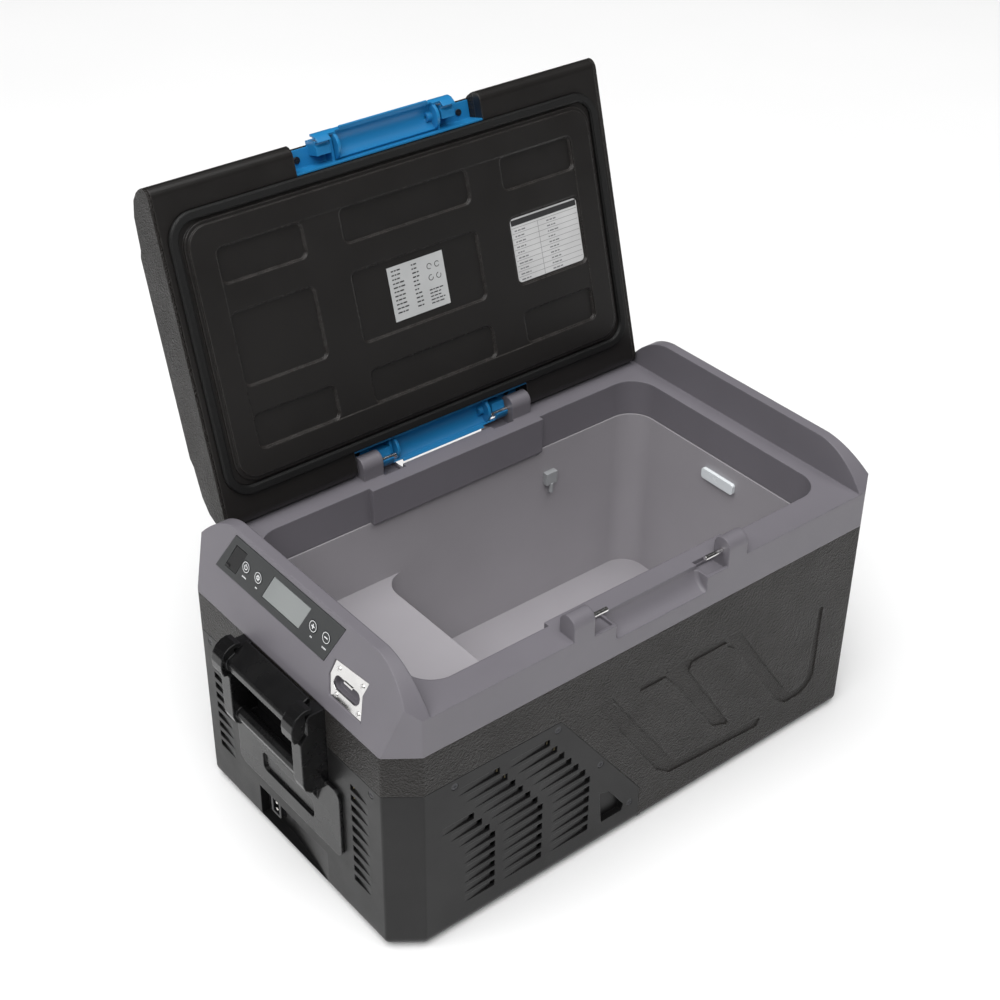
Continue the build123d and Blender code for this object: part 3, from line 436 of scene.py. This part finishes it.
# ---------------------------------------------------------------- labels on the lid
HINGE = JOINTS["lid_hinge"]
HINGE_AT = Vector(HINGE["pos_m"])
TO_REST = (Matrix.Translation(HINGE_AT) @ Matrix.Rotation(-math.radians(HINGE["range_deg"][1]), 4, "X")
           @ Matrix.Translation(-HINGE_AT))


def from_closed(x, y, z):
    """A point given in millimetres on the closed lid, moved to the open rest position."""
    return TO_REST @ Vector((x * MM, y * MM, z * MM))


LABEL_ACROSS = Vector((1, 0, 0))
LABEL_UP = (from_closed(0, -1, 0) - from_closed(0, 0, 0)).normalized()
LABEL_FACE = 265.78           # closed-lid height of the labels' printed side, 0.02 mm clear of it


def label_origin(x, y):
    return from_closed(x, y, LABEL_FACE)


def text_bars(rng, x0, x1, y, height, words):
    """A row of short bars standing for a line of small print."""
    bars = []
    x = x0
    for _ in range(words):
        width = rng.uniform(1.6, 5.0)
        if x + width > x1:
            break
        bars.append(rectangle(x, x + width, y, y + height))
        x += width + 0.9
    return bars


def rating_print():
    """Two columns of small print, four ring marks and a block of notes, in millimetres."""
    rng = random.Random(7)
    rows = []
    for k in range(11):
        y = 21.0 - 4.0 * k
        rows += text_bars(rng, -28, -9, y, 1.3, 3)
        rows += text_bars(rng, -5, 7, y, 1.3, 2)
    for k in range(4):
        rows += strip_ring((15 + 9 * (k % 2), 15 - 11 * (k // 2)), 2.2, 2.9, 30 * k, 300, 24)
    for k in range(5):
        rows += text_bars(rng, 11, 28, -8.0 - 3.2 * k, 1.1, 4)
    return rows


def storage_print():
    """A dark header over a ruled table with two columns of small print, in millimetres."""
    rng = random.Random(11)
    dark = [rectangle(-41.0, 41.0, 24.5, 30.2)]
    fine = []
    for k in range(10):
        y = 22.0 - 5.4 * k
        fine.append(rectangle(-41.0, 41.0, y, y + 0.35))
        fine += text_bars(rng, -38, -18, y - 3.4, 1.2, 3)
        fine += text_bars(rng, 2, 18, y - 3.4, 1.2, 3)
    fine.append(rectangle(-9.0, -8.6, -31.5, 22.0))
    return dark, fine


def middle_of(node):
    low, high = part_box(node)
    return (low + high) / 2


rating_at = TO_REST.inverted() @ middle_of("rating_label") / MM
storage_at = TO_REST.inverted() @ middle_of("storage_label") / MM
printed("rating_label_print", rating_print(), label_origin(rating_at.x, rating_at.y), LABEL_ACROSS, LABEL_UP,
        DARK_INK, "lid")
header, lines = storage_print()
printed("storage_label_header", header, label_origin(storage_at.x, storage_at.y), LABEL_ACROSS, LABEL_UP,
        DARK_INK, "lid")
printed("storage_label_print", lines, label_origin(storage_at.x, storage_at.y), LABEL_ACROSS, LABEL_UP,
        GREY_INK, "lid")


# ---------------------------------------------------------------- floor, light and camera
def floor_material():
    s = Shader("pale_floor")
    base = s.mix(s.ramp(s.noise(2.0, 2), 0.3, 0.7), (0.955, 0.955, 0.955), (0.975, 0.975, 0.975))
    s.link(base, s.surface.inputs["Base Color"])
    s.link(s.ramp(s.noise(5.0), 0.3, 0.7, 0.05, 0.07), s.surface.inputs["Roughness"])
    s.set(Specular_IOR_Level=0.7)
    return s.material


FLOOR_HALF = 30.0


def add_floor():
    mesh = bpy.data.meshes.new("floor")
    corners = [(x, y, 0) for x, y in rectangle(-FLOOR_HALF, FLOOR_HALF, -FLOOR_HALF, FLOOR_HALF)]
    mesh.from_pydata(corners, [], [(0, 1, 2, 3)])
    mesh.materials.append(floor_material())
    floor = bpy.data.objects.new("floor", mesh)
    bpy.context.scene.collection.objects.link(floor)
    floor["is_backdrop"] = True


def add_area(name, location, target, size, power, colour=(1, 1, 1)):
    data = bpy.data.lights.new(name, "AREA")
    data.shape = "RECTANGLE"
    data.size, data.size_y = size
    data.energy = power
    data.color = colour
    lamp = bpy.data.objects.new(name, data)
    bpy.context.scene.collection.objects.link(lamp)
    lamp.location = location
    lamp.rotation_mode = "QUATERNION"
    lamp.rotation_quaternion = (Vector(target) - Vector(location)).to_track_quat("-Z", "Y")


def add_sun(name, towards, strength, spread):
    data = bpy.data.lights.new(name, "SUN")
    data.energy = strength
    data.angle = math.radians(spread)
    lamp = bpy.data.objects.new(name, data)
    bpy.context.scene.collection.objects.link(lamp)
    lamp.rotation_mode = "QUATERNION"
    lamp.rotation_quaternion = Vector(towards).to_track_quat("-Z", "Y")


def add_world():
    """Studio surround, dim at the horizon and brighter overhead."""
    world = bpy.data.worlds.new("studio")
    world.use_nodes = True
    background = world.node_tree.nodes["Background"]
    coords = world.node_tree.nodes.new("ShaderNodeTexCoord")
    parts = world.node_tree.nodes.new("ShaderNodeSeparateXYZ")
    level = world.node_tree.nodes.new("ShaderNodeMapRange")
    level.inputs["From Min"].default_value = 0.0
    level.inputs["From Max"].default_value = 0.8
    level.inputs["To Min"].default_value = 0.30
    level.inputs["To Max"].default_value = 0.85
    world.node_tree.links.new(coords.outputs["Generated"], parts.inputs["Vector"])
    world.node_tree.links.new(parts.outputs["Z"], level.inputs["Value"])
    world.node_tree.links.new(level.outputs["Result"], background.inputs["Strength"])
    bpy.context.scene.world = world


CAMERA_AT = (-0.8745, -1.0055, 1.1968)
CAMERA_LENS = 63.55           # millimetres, on a sensor 36 mm wide
CAMERA_SENSOR = 36.0


def add_camera():
    """The reference view: azimuth turned from +Y towards +X, elevation looking down, a slight roll."""
    azimuth = math.radians(39.274)
    elevation = math.radians(34.650)
    roll = math.radians(-0.733)
    forward = Vector((math.sin(azimuth) * math.cos(elevation), math.cos(azimuth) * math.cos(elevation),
                      -math.sin(elevation)))
    right = Vector((math.cos(azimuth), -math.sin(azimuth), 0))
    down = forward.cross(right)
    across = right * math.cos(roll) + down * math.sin(roll)
    below = down * math.cos(roll) - right * math.sin(roll)
    data = bpy.data.cameras.new("camera")
    data.sensor_width = CAMERA_SENSOR
    data.lens = CAMERA_LENS
    camera = bpy.data.objects.new("camera", data)
    bpy.context.scene.collection.objects.link(camera)
    turn = Matrix((across, -below, -forward)).transposed()
    camera.matrix_world = Matrix.Translation(CAMERA_AT) @ turn.to_4x4()
    bpy.context.scene.camera = camera


add_floor()
add_world()
add_sun("overhead", (0.25, 0.15, -1.0), 3.8, 75)
add_area("key", (-1.4, -1.6, 2.2), (0, 0, 0.2), (1.4, 1.0), 14)
add_area("side", (-2.0, 0.6, 1.2), (-0.1, 0, 0.2), (0.8, 1.4), 5)
add_camera()
bpy.context.scene.view_settings.view_transform = "Standard"

low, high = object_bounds()
